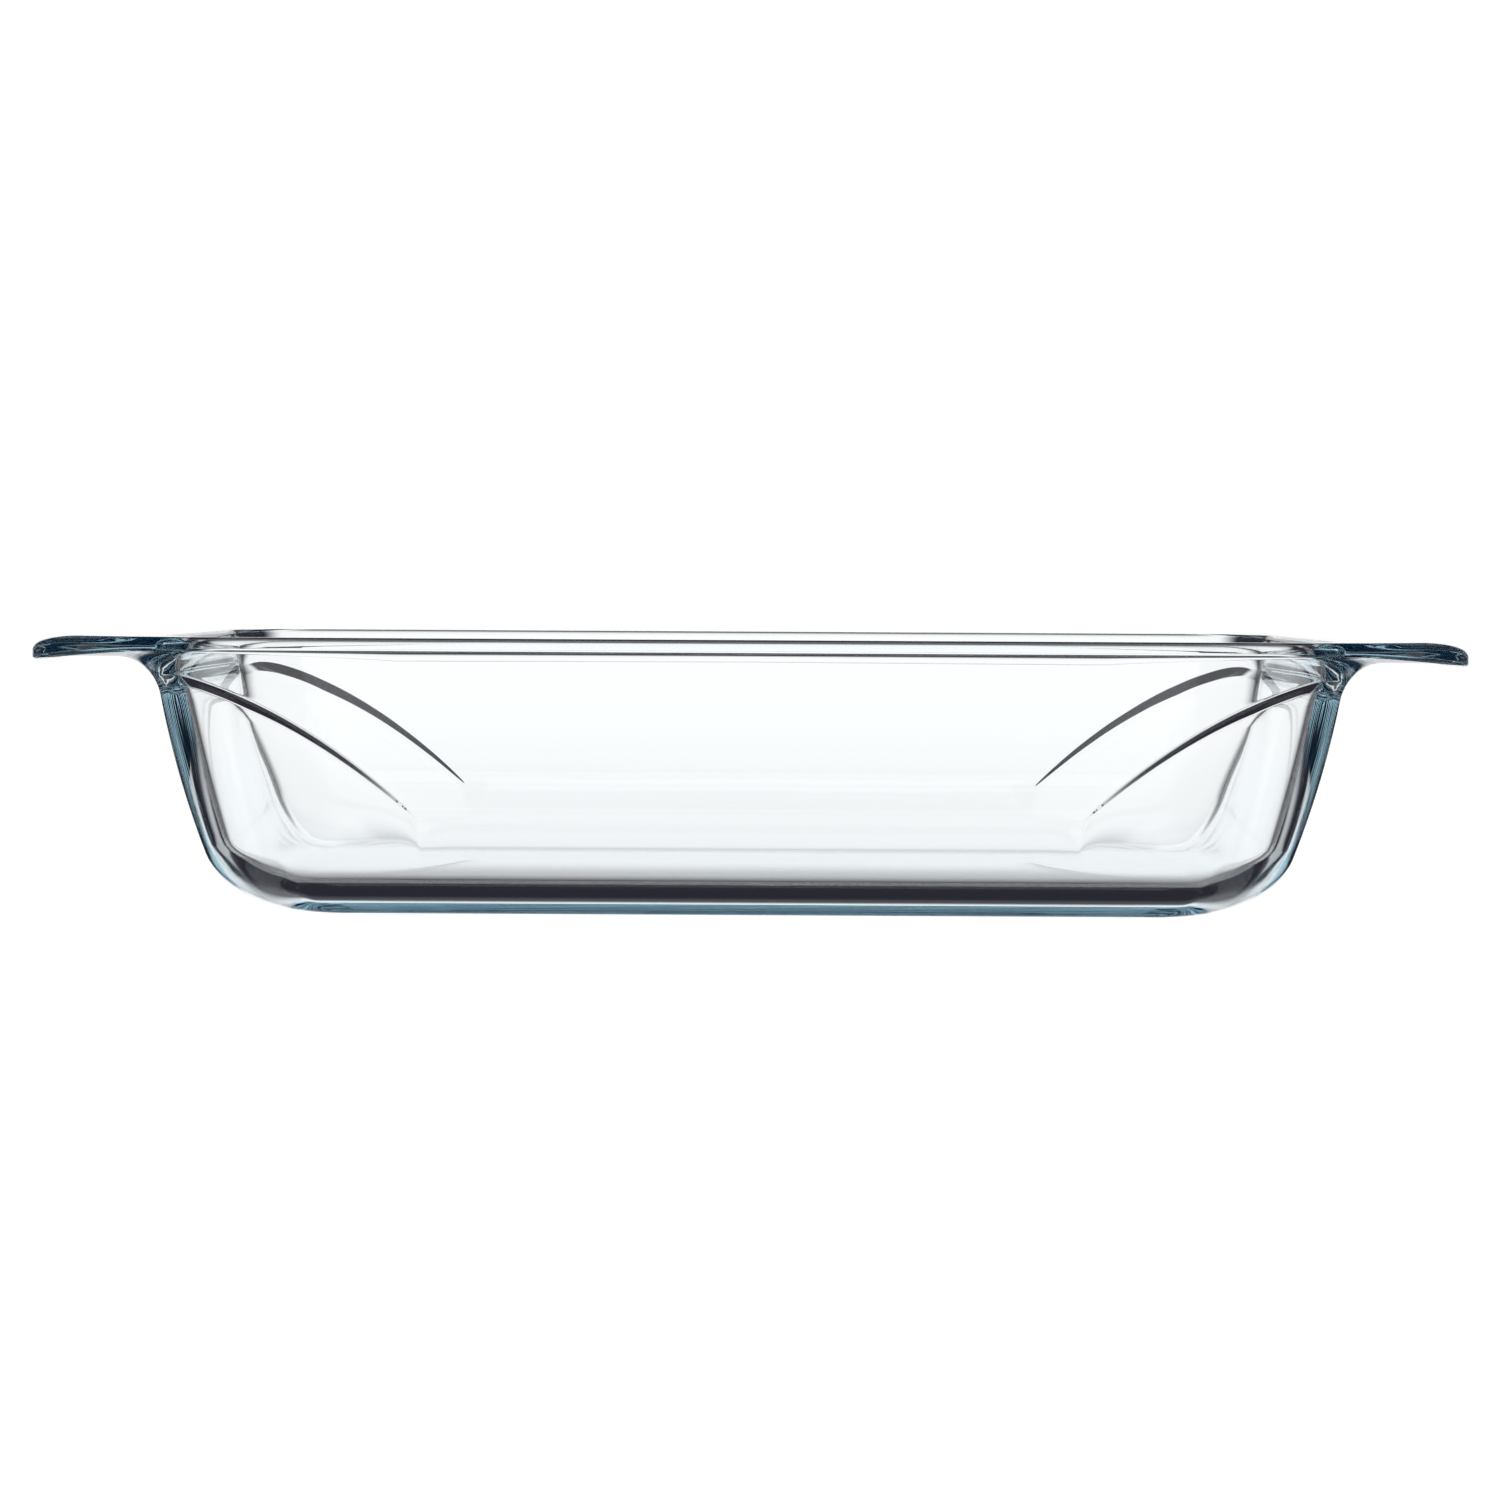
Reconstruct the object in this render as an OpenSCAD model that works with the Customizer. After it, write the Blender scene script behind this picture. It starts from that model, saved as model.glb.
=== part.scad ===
// Oven dish of pressed heat-resistant glass, loaf pan size, with a lug handle at each end.
// The glass is one moulding. Its nodes are regions of that moulding and meet face to face.

/* [Overall] */
// Length over both handles
overall_l = 307; // [280:1:340]
// Width across the rim
rim_w = 120; // [110:1:150]
// Height of the rim above the base
rim_h = 56.7; // [54:0.1:64]

/* [Basin] */
// Length across the rim between the handles
basin_l = 246.8; // [230:0.2:260]
// Radius of the rim's corners, seen from above
corner_r = 21; // [18:1:26]
// Thickness of the long walls
side_t = 4; // [3.4:0.1:5]
// Thickness of the end walls at the rim
end_t = 3.5; // [3.4:0.1:5]
// How much the end walls thicken for each millimetre below the rim
end_taper = 0.024; // [0:0.002:0.03]
// Thickness of the floor
floor_t = 4.5; // [4:0.1:6]
// Lean of the walls just below the rim, run over rise
wall_lean = 0.1; // [0.06:0.005:0.2]
// How fast the end walls' lean grows below the rim
end_bow = 0.0029; // [0:0.0001:0.0032]
// How fast the long walls' lean grows below the rim
side_bow = 0.0012; // [0:0.0001:0.002]
// Width of the round between the end walls and the base, seen from below
end_foot = 16; // [14:0.5:20]
// Width of the round between the long walls and the base, seen from below
side_foot = 9.5; // [8:0.5:14]
// Height of both of these rounds
foot_rise = 12; // [10:1:14]
// Radius of the round between the inside walls and the floor
inside_r = 10.5; // [8:0.5:13]

/* [Rim] */
// How far the rim bead stands out from the wall
bead_out = 1.0; // [0.6:0.1:1.4]
// Height of the rim bead
bead_h = 2.8; // [2.6:0.1:3.6]
// Radius of the rim's upper outer edge
rim_r = 1.7; // [1:0.1:1.8]
// Radius of the rim's lower edge
lip_r = 0.7; // [0.4:0.1:1]
// Radius of the rim's inner edge
edge_r = 1.2; // [0.8:0.1:1.4]

/* [Handles] */
// Thickness of the handles
handle_t = 4.4; // [3:0.1:4.6]
// How far the tip of a handle droops
handle_droop = 2.5; // [0:0.1:3.2]
// Distance from the tip over which a handle droops
droop_run = 17; // [12:1:20]
// Step down from the rim to the top of a handle
handle_step = 0; // [0:0.1:0.6]
// Radius of the round between the end wall and the underside of a handle
root_r = 7.5; // [6:0.5:8]

/* [Flutes] */
// Distance of a flute's tip from the middle of the pan
flute_tip_x = 71; // [64:1:80]
// Height of a flute's tip above the base
flute_tip_z = 20.8; // [18:0.1:28]
// Height at which a flute runs into the root of the handle
flute_root_z = 49.1; // [46:0.1:49.5]
// Height of the flute's sloping facet at the handle
flute_t = 2.8; // [2:0.1:3.4]
// Depth to which the flute is cut into the wall at the corner
flute_depth = 2.2; // [1:0.1:2.2]

/* [Hidden] */
glass = [0.72, 0.84, 0.88, 0.55];
half_l = overall_l / 2;
half_w = rim_w / 2;
basin_half = basin_l / 2;
// Stations round a quarter of the outline: middle of the side, flute, corner, end
n_side = 3;
n_flute = 7;
n_corner = 8;
n_end = 4;
i_flute = n_side;
i_corner = n_side + n_flute;
i_end = i_corner + n_corner;
n_quarter = i_end + n_end;
// X at which the corner of the rim starts
corner_x = basin_half - corner_r;
// Rings up each stretch of the cross-section
n_foot = 5;
n_wall = 3;
n_facet = 3;
n_step = 6;
n_edge = 4;
n_top = 2;
n_round = 3;
n_inside = 3;
n_floor = 5;
n_root = 4;
n_under = 3;
// How much the corner radius shrinks for each millimetre that the walls come in
corner_keep = 0.3;
// Corner radius of the flat base and of the flat of the floor
base_corner_r = 10;
floor_corner_r = 8;
// Power of the oval that a handle follows, seen from above
lobe = 2.2;
// Share of a handle's droop that its underside takes
under_droop = 0.6;
// Corner stations that a flute passes at full size before the handle's root takes over
lug_late = 2;
// Rise of a flute's ridge above its tip, at the middle of the side
ridge_rise = 4;
// Least half height of a flute's facet
facet_min = 0.15;

function mix(a, b, t) = a + (b - a) * t;
function clamp01(t) = max(0, min(1, t));
function ease(t) = let (c = clamp01(t)) c * c * (3 - 2 * c);

// How far the outer end and long walls have come in, at a height
function inset(z) = let (d = rim_h - z)
    [bead_out + wall_lean * d + end_bow * d * d, bead_out + wall_lean * d + side_bow * d * d];
// X of a station on the long side, in the plan of the rim
function side_x(i) = i <= i_flute
    ? flute_tip_x * i / n_side
    : mix(flute_tip_x, corner_x, (i - i_flute) / n_flute);
// Angle of the outward normal at a station: 90 on the long side, 0 on the end
function turn(i) = i <= i_corner ? 90 : i >= i_end ? 0 : 90 * (i_end - i) / n_corner;
function normal(i) = [cos(turn(i)), sin(turn(i))];
// Point on a rounded rectangle that is the rim's, moved in by d at the ends and sides, with corner radius r
function outline(i, d, r) =
    let (a = basin_half - d[0], b = half_w - d[1])
    i <= i_corner ? [side_x(i) / corner_x * (a - r), b]
    : i >= i_end ? [a, (b - r) * (n_quarter - i) / n_end]
    : [a - r, b - r] + r * normal(i);
function lift(p, z) = [p[0], p[1], z];
// Corner radius of the outer wall at a height
function wall_r(z) = corner_r - corner_keep * inset(z)[0];
// Point of the outer wall at height z, moved out along the normal
function wall_point(i, z, out) = lift(outline(i, inset(z), wall_r(z)) + out * normal(i), z);

// Share of a handle at a station: 0 on the long side, 1 on the end
function lug(i) = ease((i - i_corner - lug_late) / (n_corner - lug_late));
// Top and underside of the rim bead, which runs on into the handles
function top_z(i) = rim_h - handle_step * lug(i);
function under_z(i) = rim_h - mix(bead_h, handle_t + handle_step, lug(i));

// Height of the middle of a flute, a parabola that levels off at the handle
flute_apex_x = basin_half + 4;
function flute_z(x) = flute_root_z
    - (flute_root_z - flute_tip_z) * pow((flute_apex_x - x) / (flute_apex_x - flute_tip_x), 2);
function facet_z(i) = i <= i_flute ? flute_tip_z + ridge_rise * (i_flute - i) / n_side
    : flute_z(i <= i_corner ? side_x(i) : corner_x + corner_r * cos(turn(i)));
// Share of the flute's full size, from its tip to the corner
function flute_share(i) = clamp01((side_x(min(i, i_corner)) - flute_tip_x) / (corner_x - flute_tip_x));
// Half the height of the flute's facet, and the depth of its lower edge
function facet_half(i) = max(facet_min, flute_t / 2 * pow(flute_share(i), 0.4));
function facet_depth(i) = flute_depth * pow(flute_share(i), 0.5);
// Cross-section of the flute, as run and height: out up the facet, then up the plain wall to the bead
function flute_section(i, k) = k <= n_facet
    ? [facet_depth(i) * (ease(k / n_facet) - 1), facet_z(i) + facet_half(i) * (2 * k / n_facet - 1)]
    : [0, mix(facet_z(i) + facet_half(i), under_z(i), (k - n_facet) / (n_step - n_facet))];
// Cross-section of the round at a handle's root: where it starts, and its arc
function root_z(i) = under_z(i) - root_r;
// Angle of the arc at which it passes under the edge of the bead
joint_turn = acos(1 - inset(rim_h - handle_t - root_r / 3.4)[0] / root_r);
function root_section(i, k) = let (q = joint_turn * k / n_step)
    [root_r * (1 - cos(q)), root_z(i) + root_r * sin(q)];
function step_point(i, k) =
    let (v = mix(flute_section(i, k), root_section(i, k), lug(i)))
    wall_point(i, v[1], v[0]);

// Outline of the bead, where a handle's joint face stands
function bead_point(i) = outline(i, [0, 0], corner_r);
// Lowest point of the bead, or of the joint face
function low_z(i) = i <= i_corner ? under_z(i) : step_point(i, n_step)[2];
// The bead's edge is round on the long side and flat where a handle joins it
function bead_share(i) = i <= i_corner ? 1 : 0;
// Section of an edge between two heights, as distance in and height
function edge_section(k, low, top, share) =
    let (q = 180 * k / n_edge - 90, r = share * (q < 0 ? lip_r : rim_r))
    [r * (1 - cos(q)), q <= 0 ? low + share * lip_r * (1 + sin(q)) : top - share * rim_r * (1 - sin(q))];

// A ring of a quarter, and the same ring mirrored into a whole one
function whole(ring) = concat(
    [for (i = [0:n_quarter - 1]) ring[i]],
    [for (i = [n_quarter:-1:1]) [ring[i][0], -ring[i][1], ring[i][2]]],
    [for (i = [0:n_quarter - 1]) [-ring[i][0], -ring[i][1], ring[i][2]]],
    [for (i = [n_quarter:-1:1]) [-ring[i][0], ring[i][1], ring[i][2]]]);

function foot_point(i, k) =
    let (q = 90 * k / n_foot, z = foot_rise * (1 - cos(q)), back = 1 - sin(q),
         r = mix(wall_r(z), base_corner_r, back))
    lift(outline(i, inset(z) + back * [end_foot, side_foot], r), z);
// The long wall is scooped in, more and more up to the flute
function side_point(i, k) =
    let (top = mix(facet_z(i) - facet_half(i), root_z(i), lug(i)), t = k / n_wall)
    wall_point(i, mix(foot_rise, top, t), -facet_depth(i) * (1 - lug(i)) * ease(t));
function edge_point(i, k) =
    let (flat = [0, mix(low_z(i), top_z(i), k / n_edge)],
         v = mix(flat, edge_section(k, low_z(i), top_z(i), 1), bead_share(i)))
    lift(bead_point(i) - v[0] * normal(i), v[1]);
function top_point(i, k) =
    let (in = 2 * edge_r, start = bead_point(i) - bead_share(i) * rim_r * normal(i),
         p = mix(start, outline(i, [in, in], corner_r - in), k / n_top))
    lift(p, mix(top_z(i), rim_h, k / n_top));
// Thickness of the end and long walls at a height
function thick(z) = [end_t + end_taper * (rim_h - z), side_t];
function inside_point(i, z) = lift(outline(i, inset(z) + thick(z), wall_r(z) - thick(z)[0]), z);
function round_point(i, k) =
    let (q = 90 * k / n_round, p = inside_point(i, rim_h - edge_r),
         n = edge_r * (1 - sin(q)) * normal(i))
    [p[0] + n[0], p[1] + n[1], rim_h - edge_r * (1 - cos(q))];
function floor_point(i, k) =
    let (q = 90 * k / n_floor, z = floor_t + inside_r * (1 - sin(q)), on = 1 - cos(q),
         r = mix(wall_r(z) - thick(z)[0], floor_corner_r, on))
    lift(outline(i, inset(z) + thick(z) + on * [inside_r, inside_r], r), z);

// Rings in order from the edge of the base, up the outside and down the inside
rings = [
    for (k = [0:n_foot]) [for (i = [0:n_quarter]) foot_point(i, k)],
    for (k = [1:n_wall]) [for (i = [0:n_quarter]) side_point(i, k)],
    for (k = [1:n_step]) [for (i = [0:n_quarter]) step_point(i, k)],
    for (k = [0:n_edge]) [for (i = [0:n_quarter]) edge_point(i, k)],
    for (k = [1:n_top]) [for (i = [0:n_quarter]) top_point(i, k)],
    for (k = [0:n_round]) [for (i = [0:n_quarter]) round_point(i, k)],
    for (k = [1:n_inside]) [for (i = [0:n_quarter])
        inside_point(i, mix(rim_h - edge_r, floor_t + inside_r, k / n_inside))],
    for (k = [1:n_floor]) [for (i = [0:n_quarter]) floor_point(i, k)]
];

// Skin between rings of n points each, closed round each ring
function skin(n, last) = [for (k = [0:last - 1], i = [0:n - 1])
    let (j = (i + 1) % n, a = k * n + i, b = k * n + j)
    each [[a, b, b + n], [a, b + n, a + n]]];
// Triangles from a loop of points to one point inside it
function fan(loop, middle) = [for (i = [0:len(loop) - 1])
    [loop[i], loop[(i + 1) % len(loop)], middle]];

module basin() {
    outlines = [for (ring = rings) whole(ring)];
    n = len(outlines[0]);
    last = len(outlines) - 1;
    points = concat([for (ring = outlines) each ring], [[0, 0, 0], [0, 0, floor_t]]);
    base = fan([for (i = [n - 1:-1:0]) i], len(points) - 2);
    floor_face = fan([for (i = [0:n - 1]) last * n + i], len(points) - 1);
    color(glass)
        polyhedron(points, concat(base, skin(n, last), floor_face));
}

// Edge of a handle, an oval lobe that leaves the bead at the corners
function lobe_point(i) = let (y = bead_point(i)[1])
    [corner_x + (half_l - corner_x) * pow(max(0, 1 - pow(y / half_w, lobe)), 1 / lobe), y];
function droop(x) = handle_droop * pow(max(0, x - (half_l - droop_run)) / droop_run, 2);
// Section of a handle at a station: root round, underside, rounded edge, top, joint face
function handle_section(i) =
    let (b = bead_point(i), e = lobe_point(i), w = norm(e - b), n = (e - b) / w,
         share = min(1, w / (3 * rim_r)), start = w - share * lip_r,
         run = min(root_r * cos(joint_turn), start / 2), low = low_z(i),
         under = mix(low, under_z(i), clamp01(lug(i) * 2)))
    [
        for (k = [0:n_root - 1]) let (q = mix(joint_turn, 90, k / n_root))
            lift(b + run * (1 - cos(q) / cos(joint_turn)) * n,
                 mix(low, under, (sin(q) - sin(joint_turn)) / (1 - sin(joint_turn)))),
        for (k = [0:n_under - 1]) let (p = b + mix(run, start, k / n_under) * n)
            lift(p, under - under_droop * droop(p[0])),
        for (k = [0:n_edge])
            let (fall = droop(e[0]),
                 v = edge_section(k, under - under_droop * fall, top_z(i) - fall, share))
            lift(b + (w - v[0]) * n, v[1]),
        for (k = [n_under - 1:-1:0]) let (p = b + mix(0, w - share * rim_r, k / n_under) * n)
            lift(p, top_z(i) - droop(p[0]))
    ];

module handle() {
    half = [for (i = [n_quarter:-1:i_corner + 1]) handle_section(i)];
    mirrored = [for (section = half) [for (p = section) [p[0], -p[1], p[2]]]];
    sections = concat([for (k = [len(half) - 1:-1:1]) mirrored[k]], half);
    n = len(half[0]);
    last = len(sections) - 1;
    mid = (half[len(half) - 1][0] + half[len(half) - 1][n_root + n_under + n_edge]) / 2;
    points = concat([for (section = sections) each section], [[mid[0], -mid[1], mid[2]], mid]);
    start = fan([for (i = [n - 1:-1:0]) i], len(points) - 2);
    end = fan([for (i = [0:n - 1]) last * n + i], len(points) - 1);
    polyhedron(points, concat(start, skin(n, last), end));
}

module right_handle() {
    color(glass) handle();
}

module left_handle() {
    color(glass) rotate([0, 0, 180]) handle();
}

basin();
left_handle();
right_handle();
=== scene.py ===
# Studio picture of a clear pressed-glass oven dish with a lug handle at each end.
from math import acos, cos, pi, radians, sin

import bmesh
import bpy
from mathutils import Matrix, Vector


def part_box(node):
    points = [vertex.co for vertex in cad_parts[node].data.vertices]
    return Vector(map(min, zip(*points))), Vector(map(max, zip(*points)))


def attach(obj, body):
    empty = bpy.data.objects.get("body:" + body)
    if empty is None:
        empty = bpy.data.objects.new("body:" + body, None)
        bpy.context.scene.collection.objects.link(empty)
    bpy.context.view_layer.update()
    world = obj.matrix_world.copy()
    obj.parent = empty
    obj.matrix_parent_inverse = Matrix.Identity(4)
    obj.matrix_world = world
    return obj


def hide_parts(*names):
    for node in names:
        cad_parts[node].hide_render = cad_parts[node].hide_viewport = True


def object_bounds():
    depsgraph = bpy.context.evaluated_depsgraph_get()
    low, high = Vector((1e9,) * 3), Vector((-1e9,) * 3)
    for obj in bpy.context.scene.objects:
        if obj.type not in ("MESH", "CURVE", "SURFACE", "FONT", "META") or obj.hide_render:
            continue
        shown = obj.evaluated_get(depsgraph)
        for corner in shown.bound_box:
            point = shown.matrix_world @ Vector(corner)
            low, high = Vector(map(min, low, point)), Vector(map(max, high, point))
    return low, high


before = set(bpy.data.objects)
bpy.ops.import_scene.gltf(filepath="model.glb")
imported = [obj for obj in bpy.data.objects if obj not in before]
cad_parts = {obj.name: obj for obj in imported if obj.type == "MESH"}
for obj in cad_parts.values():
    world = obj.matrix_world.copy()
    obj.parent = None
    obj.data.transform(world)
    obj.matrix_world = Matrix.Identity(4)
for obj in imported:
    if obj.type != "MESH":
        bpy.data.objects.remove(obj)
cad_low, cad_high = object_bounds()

MM = 0.001

# ---------------------------------------------------------------- sizes, in millimetres
HALF_L = cad_high[0] / MM
HALF_W = cad_high[1] / MM
RIM_H = cad_high[2] / MM
BASIN_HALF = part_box("basin")[1][0] / MM
CORNER_R = 21
SIDE_T = 4.0
END_T = 3.5
END_TAPER = 0.024
FLOOR_T = 4.5
WALL_LEAN = 0.1
END_BOW = 0.0029
SIDE_BOW = 0.0012
END_FOOT = 16
SIDE_FOOT = 9.5
FOOT_RISE = 12
INSIDE_R = 10.5
BEAD_OUT = 1.0
BEAD_H = 2.8
RIM_R = 1.7
LIP_R = 0.7
EDGE_R = 1.2
HANDLE_T = 4.4
HANDLE_DROOP = 2.5
DROOP_RUN = 17
ROOT_R = 7.5
FLUTE_TIP_X = 71
FLUTE_TIP_Z = 20.8
FLUTE_ROOT_Z = 49.1
FLUTE_T = 2.8
FLUTE_DEPTH = 2.2
# How much the corner radius shrinks for each millimetre that the walls come in
CORNER_KEEP = 0.3
BASE_CORNER_R = 10
FLOOR_CORNER_R = 8
# Power of the oval that a handle follows, seen from above
LOBE = 2.2
# Share of a handle's droop that its underside takes
UNDER_DROOP = 0.6
# Rise of a flute's ridge above its tip, at the middle of the side
RIDGE_RISE = 4
# Least half height of a flute's facet, and how fast its height and depth grow from the tip
FACET_MIN = 0.15
FACET_POWER = 0.4
DEPTH_POWER = 0.5
# Share of the step's rings that the flute's facet takes
FACET_SHARE = 0.45
# Turn of the corner at which a handle's root starts to take over from the flute, in degrees
LUG_START = 67.5
# Distance below the handle at which its root passes under the edge of the bead
JOINT_DROP = ROOT_R / 3.4
# Longest run of a root's round, as a share of the underside's width there
ROOT_REACH = 0.6
# Shares of the edge's rings at which its lower round and its flat end
LIP_END = 0.35
FLAT_END = 0.45
CORNER_X = BASIN_HALF - CORNER_R
FLUTE_APEX_X = BASIN_HALF + 4
# Stations round a quarter of the outline: middle of the side, flute, corner, end
N_SIDE = 12
N_FLUTE = 52
N_CORNER = 36
N_END = 16
# Power that bunches the flute's stations at its tip
FLUTE_BUNCH = 1.4


def mix(a, b, t):
    return a + (b - a) * t


def clamp01(t):
    return max(0.0, min(1.0, t))


def ease(t):
    c = clamp01(t)
    return c * c * (3 - 2 * c)


def ramp(t, soft=0.14):
    """A straight ramp from 0 to 1 with short rounds at both ends."""
    t = clamp01(t)
    top = 1 / (1 - soft)
    if t < soft:
        return top * t * t / (2 * soft)
    if t > 1 - soft:
        return 1 - top * (1 - t) ** 2 / (2 * soft)
    return top * (t - soft / 2)


def lift(p, z):
    return Vector((p.x, p.y, z))


# ---------------------------------------------------------------- outline
def inset(z, more_end=0.0, more_side=0.0):
    """How far the end and long walls have come in at a height."""
    d = RIM_H - z
    lean = BEAD_OUT + WALL_LEAN * d
    return lean + END_BOW * d * d + more_end, lean + SIDE_BOW * d * d + more_side


def wall_r(z):
    return CORNER_R - CORNER_KEEP * inset(z)[0]


def end_thick(z):
    return END_T + END_TAPER * (RIM_H - z)


def droop(x):
    return HANDLE_DROOP * (max(0.0, x - (HALF_L - DROOP_RUN)) / DROOP_RUN) ** 2


def flute_middle(x):
    """Height of the middle of a flute, a parabola that levels off at the handle."""
    fall = (FLUTE_APEX_X - x) / (FLUTE_APEX_X - FLUTE_TIP_X)
    return FLUTE_ROOT_Z - (FLUTE_ROOT_Z - FLUTE_TIP_Z) * fall ** 2


# Angle of a root's round at which it passes under the edge of the bead
JOINT_TURN = acos(1 - inset(RIM_H - HANDLE_T - JOINT_DROP)[0] / ROOT_R)


class Station:
    """A place on a quarter of the outline: side, corner or end."""

    def __init__(self, side_x=None, turn=90.0, along=None):
        self.side_x = side_x
        self.turn = turn
        self.along = along
        self.normal = Vector((cos(radians(turn)), sin(radians(turn))))
        self.lug = 0.0 if side_x is not None else ease((LUG_START - turn) / LUG_START)
        x = CORNER_X if side_x is None else side_x
        share = clamp01((x - FLUTE_TIP_X) / (CORNER_X - FLUTE_TIP_X))
        self.facet_half = max(FACET_MIN, FLUTE_T / 2 * share ** FACET_POWER)
        self.facet_depth = FLUTE_DEPTH * share ** DEPTH_POWER
        self.facet_z = self.flute_z()
        self.under_z = RIM_H - mix(BEAD_H, HANDLE_T, self.lug)
        self.root_z = self.under_z - ROOT_R

    def flute_z(self):
        if self.side_x is None:
            return flute_middle(CORNER_X + CORNER_R * cos(radians(self.turn)))
        if self.side_x <= FLUTE_TIP_X:
            return FLUTE_TIP_Z + RIDGE_RISE * (1 - self.side_x / FLUTE_TIP_X)
        return flute_middle(self.side_x)

    def outline(self, inward, radius):
        """Point on the rim's rounded rectangle, moved in at the ends and sides."""
        a = BASIN_HALF - inward[0]
        b = HALF_W - inward[1]
        if self.side_x is not None:
            return Vector((self.side_x / CORNER_X * (a - radius), b))
        if self.along is not None:
            return Vector((a, (b - radius) * self.along))
        return Vector((a - radius, b - radius)) + radius * self.normal

    def wall(self, z, out):
        """Point of the outer wall, moved out along the normal."""
        return lift(self.outline(inset(z), wall_r(z)) + out * self.normal, z)

    def lobe(self):
        """Point on the edge of the rim and handles, seen from above."""
        p = self.outline((0, 0), CORNER_R)
        if self.side_x is not None:
            return p
        reach = max(0.0, 1 - (p.y / HALF_W) ** LOBE) ** (1 / LOBE)
        return Vector((CORNER_X + (HALF_L - CORNER_X) * reach, p.y))

    def under(self, p):
        """The point lifted to the underside of the bead or handle."""
        return lift(p, self.under_z - UNDER_DROOP * droop(p.x))


def quarter_stations():
    """Stations from the middle of the long side round to the middle of the end."""
    stations = [Station(side_x=FLUTE_TIP_X * i / N_SIDE) for i in range(N_SIDE)]
    stations += [Station(side_x=mix(FLUTE_TIP_X, CORNER_X, (i / N_FLUTE) ** FLUTE_BUNCH))
                 for i in range(N_FLUTE + 1)]
    stations += [Station(turn=90 * (1 - i / N_CORNER)) for i in range(1, N_CORNER + 1)]
    stations += [Station(turn=0.0, along=1 - i / N_END) for i in range(1, N_END + 1)]
    return stations


def lobe_normals(stations):
    """Outward normals of the outline of the rim and handles."""
    edge = [s.lobe() for s in stations]
    edge.append(Vector((edge[-2].x, -edge[-2].y)))
    normals = [Vector((0, 1))]
    for i in range(1, len(stations)):
        d = edge[i + 1] - edge[i - 1]
        n = Vector((-d.y, d.x)).normalized()
        outward = Vector((max(stations[i].normal.x, 0.01), stations[i].normal.y))
        normals.append(n if n.dot(outward) > 0 else -n)
    return normals


# ---------------------------------------------------------------- glass
# Each function gives the point of one stretch of the cross-section at station s, with the
# rim's normal n there, at share t of the stretch.
def foot(s, z, back):
    """Outer surface under the walls, brought in towards the flat of the base."""
    p = s.outline(inset(z, END_FOOT * back, SIDE_FOOT * back), mix(wall_r(z), BASE_CORNER_R, back))
    return lift(p, z)


def base_flat(s, n, t):
    return foot(s, 0.0, 1.0) * t


def foot_round(s, n, t):
    q = pi / 2 * t
    return foot(s, FOOT_RISE * (1 - cos(q)), 1 - sin(q))


def outer_wall(s, n, t):
    """The wall, scooped in more and more up to the flute."""
    top = mix(s.facet_z - s.facet_half, s.root_z, s.lug)
    return s.wall(mix(FOOT_RISE, top, t), -s.facet_depth * (1 - s.lug) * ease(t))


def step(s, n, t):
    """Out up the flute's facet and on to the bead, or up the round under a handle."""
    run = 0
    if t <= FACET_SHARE:
        k = t / FACET_SHARE
        run = s.facet_depth * (ramp(k) - 1)
        z = s.facet_z + s.facet_half * (2 * k - 1)
    else:
        k = (t - FACET_SHARE) / (1 - FACET_SHARE)
        z = mix(s.facet_z + s.facet_half, s.under_z, k)
    q = JOINT_TURN * t
    run = mix(run, ROOT_R * (1 - cos(q)), s.lug)
    z = mix(z, s.root_z + ROOT_R * sin(q), s.lug)
    return s.wall(z, run)


def root(s, n, t):
    """The rest of the round, on to the underside."""
    start = step(s, n, 1)
    across = s.lobe() - LIP_R * n - start.xy
    wide = across.length
    run = min(ROOT_R * cos(JOINT_TURN), wide * ROOT_REACH)
    toward = across.normalized() if wide > 1e-6 else n
    q = mix(JOINT_TURN, pi / 2, t)
    along = run * (1 - cos(q) / cos(JOINT_TURN))
    up = (sin(q) - sin(JOINT_TURN)) / (1 - sin(JOINT_TURN))
    return lift(start.xy + toward * along, mix(start.z, s.under_z, up))


def underside(s, n, t):
    return s.under(root(s, n, 1).xy.lerp(s.lobe() - LIP_R * n, t))


def edge(s, n, t):
    """Small round below, a short flat and a larger round above."""
    far = s.lobe()
    low = s.under(far).z
    high = RIM_H - droop(far.x)
    if t < LIP_END:
        q = pi / 2 * (t / LIP_END - 1)
        back, z = LIP_R * (1 - cos(q)), low + LIP_R * (1 + sin(q))
    elif t < FLAT_END:
        back, z = 0, mix(low + LIP_R, high - RIM_R, (t - LIP_END) / (FLAT_END - LIP_END))
    else:
        q = pi / 2 * (t - FLAT_END) / (1 - FLAT_END)
        back, z = RIM_R * (1 - cos(q)), high - RIM_R * (1 - sin(q))
    return lift(far - back * n, z)


def top(s, n, t):
    brim_w = 2 * EDGE_R
    start = edge(s, n, 1).xy
    stop = s.outline((brim_w, brim_w), CORNER_R - brim_w)
    p = start.lerp(stop, t)
    inside = brim_w - (1 - t) * (stop - start).length
    return lift(p, mix(RIM_H - droop(p.x), RIM_H, ease(inside / brim_w)))


def inner(s, z):
    return lift(s.outline(inset(z, end_thick(z), SIDE_T), wall_r(z) - end_thick(z)), z)


def brim(s, n, t):
    q = pi / 2 * t
    p = inner(s, RIM_H - EDGE_R).xy + EDGE_R * (1 - sin(q)) * s.normal
    return lift(p, RIM_H - EDGE_R * (1 - cos(q)))


def top_flat(s, n, t):
    return top(s, n, 1).lerp(brim(s, n, 0), t)


def inner_wall(s, n, t):
    return inner(s, mix(RIM_H - EDGE_R, FLOOR_T + INSIDE_R, t))


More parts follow.
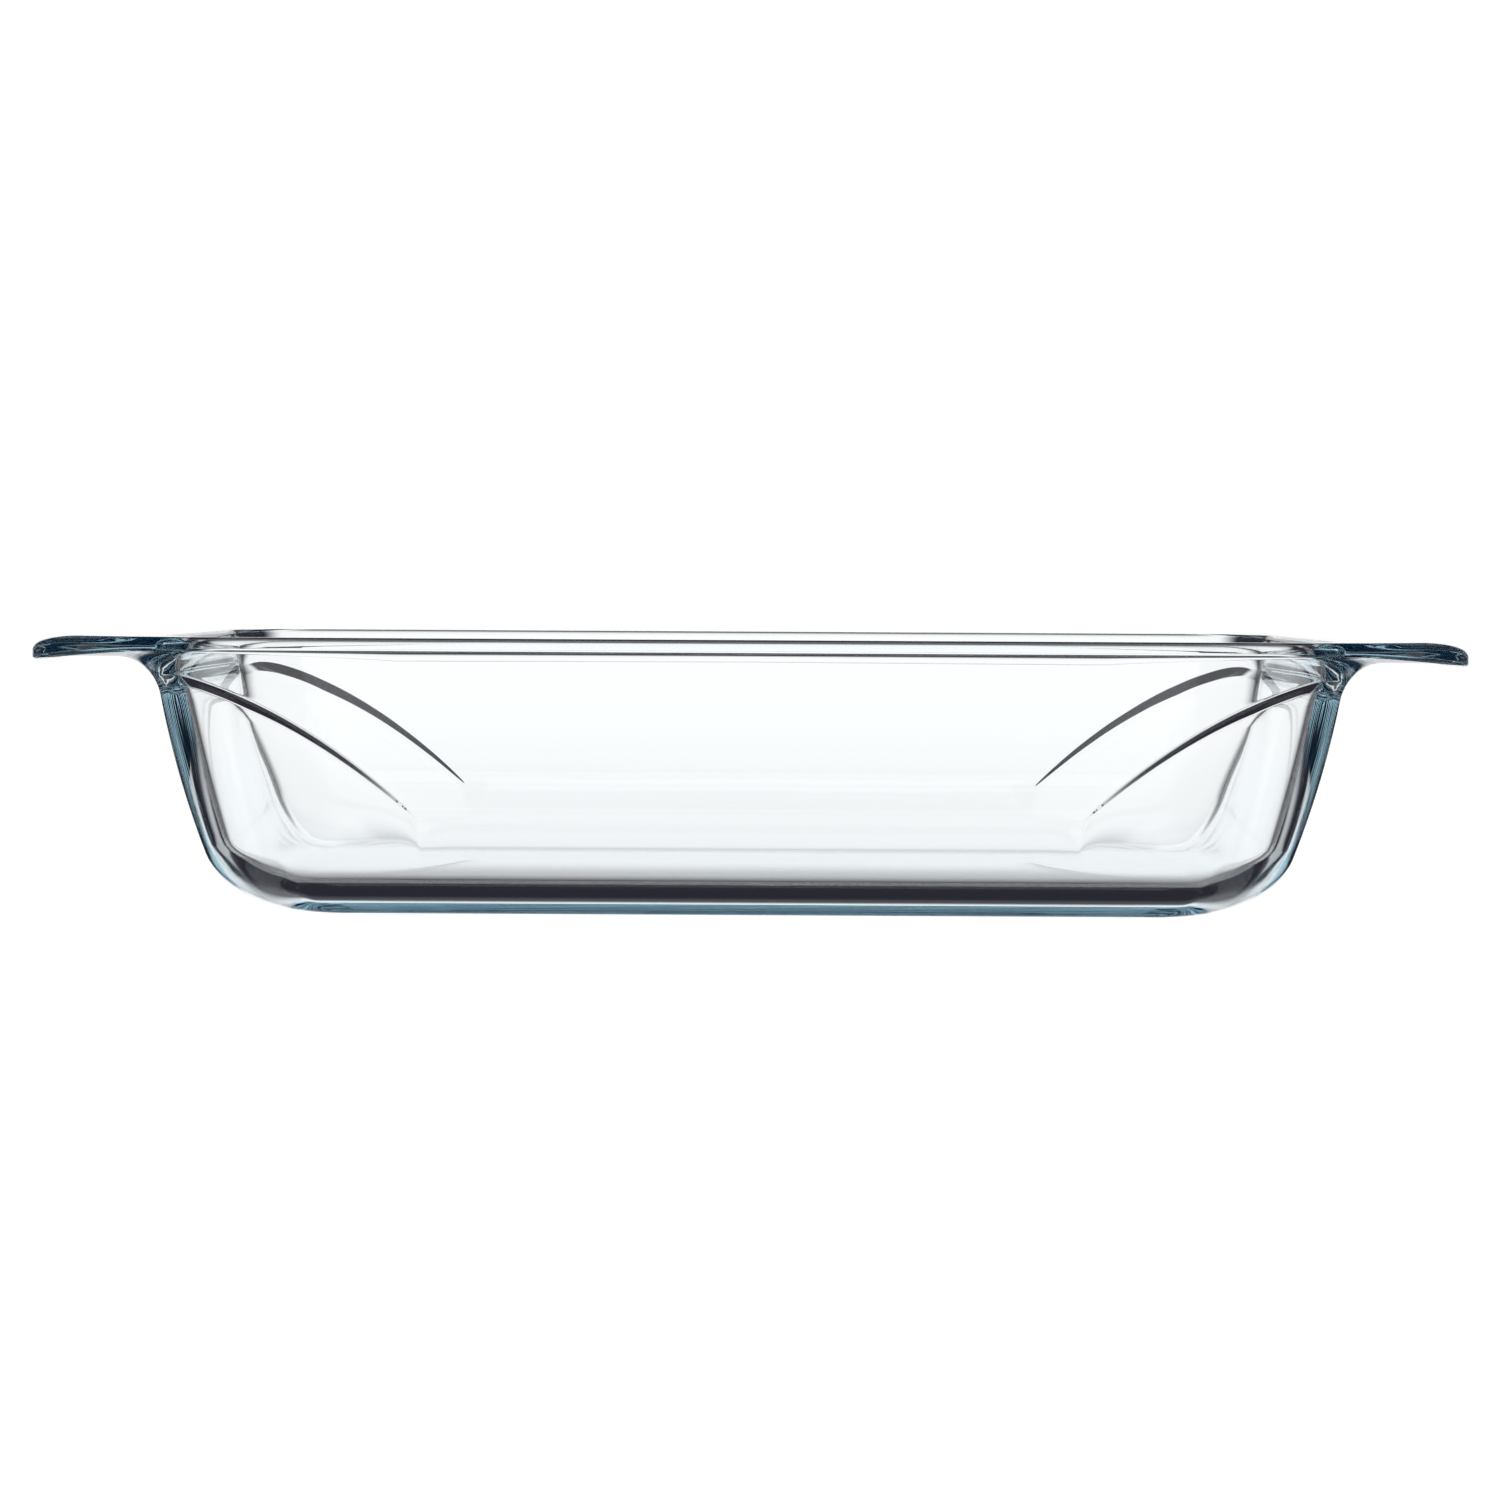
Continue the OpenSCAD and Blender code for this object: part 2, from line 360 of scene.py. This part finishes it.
def floor_round(s, n, t):
    q = pi / 2 * t
    z = FLOOR_T + INSIDE_R * (1 - sin(q))
    on = 1 - cos(q)
    p = s.outline(inset(z, end_thick(z) + INSIDE_R * on, SIDE_T + INSIDE_R * on),
                  mix(wall_r(z) - end_thick(z), FLOOR_CORNER_R, on))
    return lift(p, z)


def floor_flat(s, n, t):
    return lift(floor_round(s, n, 1).xy * (1 - t), FLOOR_T)


def glass_rings():
    """Quarter rings from the middle of the base, up the outside, over the rim and down inside."""
    stations = quarter_stations()
    places = list(zip(stations, lobe_normals(stations)))

    def rings(point, count, first=1, last=None):
        stop = count if last is None else last
        return [[point(s, n, k / count) for s, n in places] for k in range(first, stop + 1)]

    return (rings(base_flat, 10, last=9) + rings(foot_round, 16, first=0) + rings(outer_wall, 14)
            + rings(step, 30) + rings(root, 8) + rings(underside, 10) + rings(edge, 24)
            + rings(top, 20) + rings(top_flat, 3, last=2) + rings(brim, 8, first=0)
            + rings(inner_wall, 24) + rings(floor_round, 16) + rings(floor_flat, 10, last=9))


def whole(ring):
    """Mirror a quarter ring into a whole one."""
    back = list(reversed(ring[1:]))
    return ([Vector(p) for p in ring[:-1]]
            + [Vector((p.x, -p.y, p.z)) for p in back]
            + [Vector((-p.x, -p.y, p.z)) for p in ring[:-1]]
            + [Vector((-p.x, p.y, p.z)) for p in back])


def make_glass():
    rings = [whole(r) for r in glass_rings()]
    mesh = bpy.data.meshes.new("pan_glass")
    bm = bmesh.new()
    verts = [[bm.verts.new(p * MM) for p in r] for r in rings]
    n = len(verts[0])
    for low, high in zip(verts, verts[1:]):
        for i in range(n):
            j = (i + 1) % n
            bm.faces.new((low[i], low[j], high[j], high[i]))
    bm.faces.new(list(reversed(verts[0])))
    bm.faces.new(verts[-1])
    bmesh.ops.remove_doubles(bm, verts=bm.verts, dist=1e-7)
    bmesh.ops.dissolve_degenerate(bm, edges=bm.edges, dist=1e-8)
    bmesh.ops.recalc_face_normals(bm, faces=bm.faces)
    bm.to_mesh(mesh)
    bm.free()
    mesh.polygons.foreach_set("use_smooth", [True] * len(mesh.polygons))
    obj = bpy.data.objects.new("pan_glass", mesh)
    bpy.context.scene.collection.objects.link(obj)
    return obj


# Index of refraction of oven glass
IOR = 1.473
# The absorption coefficient of each colour is SOAK * (1 - TINT) for each metre of glass
TINT = (0.2, 0.6, 0.75, 1)
SOAK = 11.0
# Faint waves of a pressed surface: their scale and height, and their strength on basin and handles
WAVE_SCALE = 55.0
WAVE_HEIGHT = 0.00012
WAVE_BASIN = 0.1
WAVE_HANDLE = 0.4
# Distances past the basin's rim between which the waves grow, in millimetres
WAVE_START = 2
WAVE_STOP = 10


def glass_material():
    mat = bpy.data.materials.new("clear_glass")
    mat.use_nodes = True
    nodes = mat.node_tree.nodes
    links = mat.node_tree.links
    nodes.clear()
    out = nodes.new("ShaderNodeOutputMaterial")
    bsdf = nodes.new("ShaderNodeBsdfPrincipled")
    bsdf.inputs["Base Color"].default_value = (1, 1, 1, 1)
    bsdf.inputs["Transmission Weight"].default_value = 1.0
    bsdf.inputs["Roughness"].default_value = 0.0
    bsdf.inputs["IOR"].default_value = IOR
    coord = nodes.new("ShaderNodeTexCoord")
    waves = nodes.new("ShaderNodeTexNoise")
    waves.inputs["Scale"].default_value = WAVE_SCALE
    waves.inputs["Detail"].default_value = 2.0
    links.new(coord.outputs["Object"], waves.inputs["Vector"])
    split = nodes.new("ShaderNodeSeparateXYZ")
    links.new(coord.outputs["Object"], split.inputs[0])
    outward = nodes.new("ShaderNodeMath")
    outward.operation = "ABSOLUTE"
    links.new(split.outputs["X"], outward.inputs[0])
    depth = nodes.new("ShaderNodeMapRange")
    depth.inputs["From Min"].default_value = (BASIN_HALF + WAVE_START) * MM
    depth.inputs["From Max"].default_value = (BASIN_HALF + WAVE_STOP) * MM
    depth.inputs["To Min"].default_value = WAVE_BASIN
    depth.inputs["To Max"].default_value = WAVE_HANDLE
    links.new(outward.outputs[0], depth.inputs["Value"])
    height = nodes.new("ShaderNodeMath")
    height.operation = "MULTIPLY"
    links.new(waves.outputs[0], height.inputs[0])
    links.new(depth.outputs[0], height.inputs[1])
    bump = nodes.new("ShaderNodeBump")
    bump.inputs["Strength"].default_value = 1.0
    bump.inputs["Distance"].default_value = WAVE_HEIGHT
    links.new(height.outputs[0], bump.inputs["Height"])
    links.new(bump.outputs[0], bsdf.inputs["Normal"])
    links.new(bsdf.outputs[0], out.inputs["Surface"])
    soak = nodes.new("ShaderNodeVolumeAbsorption")
    soak.inputs["Color"].default_value = TINT
    soak.inputs["Density"].default_value = SOAK
    links.new(soak.outputs[0], out.inputs["Volume"])
    return mat


glass = make_glass()
glass.data.materials.append(glass_material())
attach(glass, "root")
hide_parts("basin", "left_handle", "right_handle")

# ---------------------------------------------------------------- studio
# Strength of the white screens, and the colour of the dark room round them
WINDOW = 1.05
DARK = (0.026, 0.024, 0.034)
# Half width of the floor, and how far it lies below the base, in metres
FLOOR_HALF = 30.0
FLOOR_DROP = 0.0002
FLOOR_GREY = 0.8
FLOOR_GLOW = 0.93
# Directions in degrees: azimuth from the Y axis, and elevation. Two numbers are the start and end
# of a fade, and three are the sides of a band and the softness of its edges.
SCREEN_FOOT = (-33, -15)
SCREEN_HEAD = (13.5, 19)
SCREEN_SIDE = (18, 25)
GLOW_BAND = (-42, 0, 8)
GLOW_LEVEL = 0.07
END_SIDE = (80, 84)
END_BAND = (-7, 1, 1.5)
END_LEVEL = 0.65
PATCH_SIDE = (33, 58, 4)
PATCH_FORE = (-33, -7, 2)
PATCH_REAR = (-33, -18.5, 2)
REAR_LEVEL = 0.55
PATCH_LEVEL = 0.82
FAR_SIDE = (30, 46, 4)
FAR_BAND = (21, 40, 3)
FAR_LEVEL = 0.2
OVERHEAD_FADE = (64, 72)
OVERHEAD_LEVEL = 0.7


def make_floor():
    """Pale floor. The glass doesn't see it: the lower half of the world stands in for it there."""
    mesh = bpy.data.meshes.new("floor")
    corners = [(-1, -1), (1, -1), (1, 1), (-1, 1)]
    mesh.from_pydata([(x * FLOOR_HALF, y * FLOOR_HALF, 0) for x, y in corners], [], [(0, 1, 2, 3)])
    obj = bpy.data.objects.new("floor", mesh)
    bpy.context.scene.collection.objects.link(obj)
    obj.location.z = -FLOOR_DROP
    mat = bpy.data.materials.new("pale_floor")
    mat.use_nodes = True
    bsdf = mat.node_tree.nodes["Principled BSDF"]
    bsdf.inputs["Base Color"].default_value = (FLOOR_GREY, FLOOR_GREY, FLOOR_GREY, 1)
    bsdf.inputs["Roughness"].default_value = 1.0
    bsdf.inputs["Specular IOR Level"].default_value = 0.0
    bsdf.inputs["Emission Color"].default_value = (1, 1, 1, 1)
    bsdf.inputs["Emission Strength"].default_value = FLOOR_GLOW
    obj.data.materials.append(mat)
    obj.visible_transmission = False
    obj.visible_glossy = False


class Calc:
    """Short ways to add the world's arithmetic nodes."""

    def __init__(self, tree):
        self.nodes = tree.nodes
        self.links = tree.links

    def math(self, op, *values):
        node = self.nodes.new("ShaderNodeMath")
        node.operation = op
        for slot, value in zip(node.inputs, values):
            if isinstance(value, (int, float)):
                slot.default_value = value
            else:
                self.links.new(value, slot)
        return node.outputs[0]

    def times(self, a, b):
        return self.math("MULTIPLY", a, b)

    def most(self, a, b):
        return self.math("MAXIMUM", a, b)

    def rise(self, value, start, stop):
        """0 up to start, 1 from stop on, smooth between."""
        node = self.nodes.new("ShaderNodeMapRange")
        node.interpolation_type = "SMOOTHSTEP"
        self.links.new(value, node.inputs["Value"])
        node.inputs["From Min"].default_value = start
        node.inputs["From Max"].default_value = stop
        return node.outputs[0]

    def fall(self, value, start, stop):
        return self.math("SUBTRACT", 1.0, self.rise(value, start, stop))

    def band(self, value, low, high, soft):
        """1 between low and high, 0 outside, smooth over soft to either side."""
        return self.times(self.rise(value, low - soft, low + soft),
                          self.fall(value, high - soft, high + soft))

    def mixed(self, share, a, b):
        node = self.nodes.new("ShaderNodeMix")
        node.data_type = "RGBA"
        self.links.new(share, node.inputs["Factor"])
        for slot, value in (("A", a), ("B", b)):
            if isinstance(value, tuple):
                node.inputs[slot].default_value = value
            else:
                self.links.new(value, node.inputs[slot])
        return node.outputs["Result"]


def screens(calc, azimuth, elevation):
    """White screens before and behind the pan, which fade out below, over a faint glow."""
    tall = calc.times(calc.rise(elevation, *SCREEN_FOOT), calc.fall(elevation, *SCREEN_HEAD))
    glow = calc.times(calc.band(elevation, *GLOW_BAND), GLOW_LEVEL)
    return calc.times(calc.most(tall, glow), calc.fall(azimuth, *SCREEN_SIDE))


def end_screens(calc, azimuth, elevation):
    """Small screens at the pan's ends."""
    lit = calc.times(calc.rise(azimuth, *END_SIDE), calc.band(elevation, *END_BAND))
    return calc.times(lit, END_LEVEL)


def floor_patches(calc, azimuth, elevation, y):
    """Pale floor to either side, dimmer and lower behind the pan than before it."""
    behind = calc.math("GREATER_THAN", y, 0.0)
    before = calc.math("SUBTRACT", 1.0, behind)
    rear = calc.times(calc.times(behind, calc.band(elevation, *PATCH_REAR)), REAR_LEVEL)
    fore = calc.times(before, calc.band(elevation, *PATCH_FORE))
    lit = calc.times(calc.band(azimuth, *PATCH_SIDE), calc.most(rear, fore))
    return calc.times(lit, PATCH_LEVEL)


def far_walls(calc, azimuth, elevation):
    """Dim wall beyond the screens, high up."""
    lit = calc.times(calc.band(azimuth, *FAR_SIDE), calc.band(elevation, *FAR_BAND))
    return calc.times(lit, FAR_LEVEL)


def overhead(calc, elevation):
    return calc.times(calc.rise(elevation, *OVERHEAD_FADE), OVERHEAD_LEVEL)


def make_world():
    """A dark room with white screens, set by direction. Only rays that meet the pan or floor see it."""
    world = bpy.data.worlds.new("studio")
    bpy.context.scene.world = world
    world.use_nodes = True
    nodes = world.node_tree.nodes
    links = world.node_tree.links
    nodes.clear()
    calc = Calc(world.node_tree)
    coord = nodes.new("ShaderNodeTexCoord")
    split = nodes.new("ShaderNodeSeparateXYZ")
    links.new(coord.outputs["Generated"], split.inputs[0])
    x, y, z = (split.outputs[axis] for axis in "XYZ")
    turn = calc.math("ARCTAN2", calc.math("ABSOLUTE", x), calc.math("ABSOLUTE", y))
    azimuth = calc.times(turn, 180 / pi)
    elevation = calc.times(calc.math("ARCSINE", z), 180 / pi)
    light = calc.most(screens(calc, azimuth, elevation), end_screens(calc, azimuth, elevation))
    light = calc.most(light, floor_patches(calc, azimuth, elevation, y))
    light = calc.most(light, far_walls(calc, azimuth, elevation))
    light = calc.most(light, overhead(calc, elevation))
    white = (WINDOW, WINDOW, WINDOW, 1)
    room = calc.mixed(light, (*DARK, 1), white)
    # The camera itself sees plain white where nothing stands before it
    path = nodes.new("ShaderNodeLightPath")
    back = nodes.new("ShaderNodeBackground")
    links.new(calc.mixed(path.outputs["Is Camera Ray"], room, white), back.inputs["Color"])
    out = nodes.new("ShaderNodeOutputWorld")
    links.new(back.outputs[0], out.inputs[0])


make_floor()
make_world()

# ---------------------------------------------------------------- camera
# Metres in front of the middle of the pan and above the base
DISTANCE = 0.656
EYE_Z = 0.0674
# Downward tilt and roll, in radians
PITCH = 0.0542872
ROLL = 0.0055
# Focal length and sensor width, in millimetres
LENS = 72.432
SENSOR = 36.0
# Light paths through the glass have to be long enough to leave it
BOUNCES = 40


def make_camera():
    cam = bpy.data.cameras.new("camera")
    cam.sensor_width = SENSOR
    cam.lens = LENS
    cam.clip_start = 0.01
    cam.clip_end = 200
    obj = bpy.data.objects.new("camera", cam)
    bpy.context.scene.collection.objects.link(obj)
    obj.matrix_world = (Matrix.Translation((0, -DISTANCE, EYE_Z))
                        @ Matrix.Rotation(pi / 2 - PITCH, 4, "X")
                        @ Matrix.Rotation(ROLL, 4, "Z"))
    bpy.context.scene.camera = obj


make_camera()

scene = bpy.context.scene
scene.view_settings.view_transform = "Standard"
scene.cycles.max_bounces = BOUNCES
scene.cycles.transmission_bounces = BOUNCES
scene.cycles.glossy_bounces = BOUNCES
scene.cycles.diffuse_bounces = 3
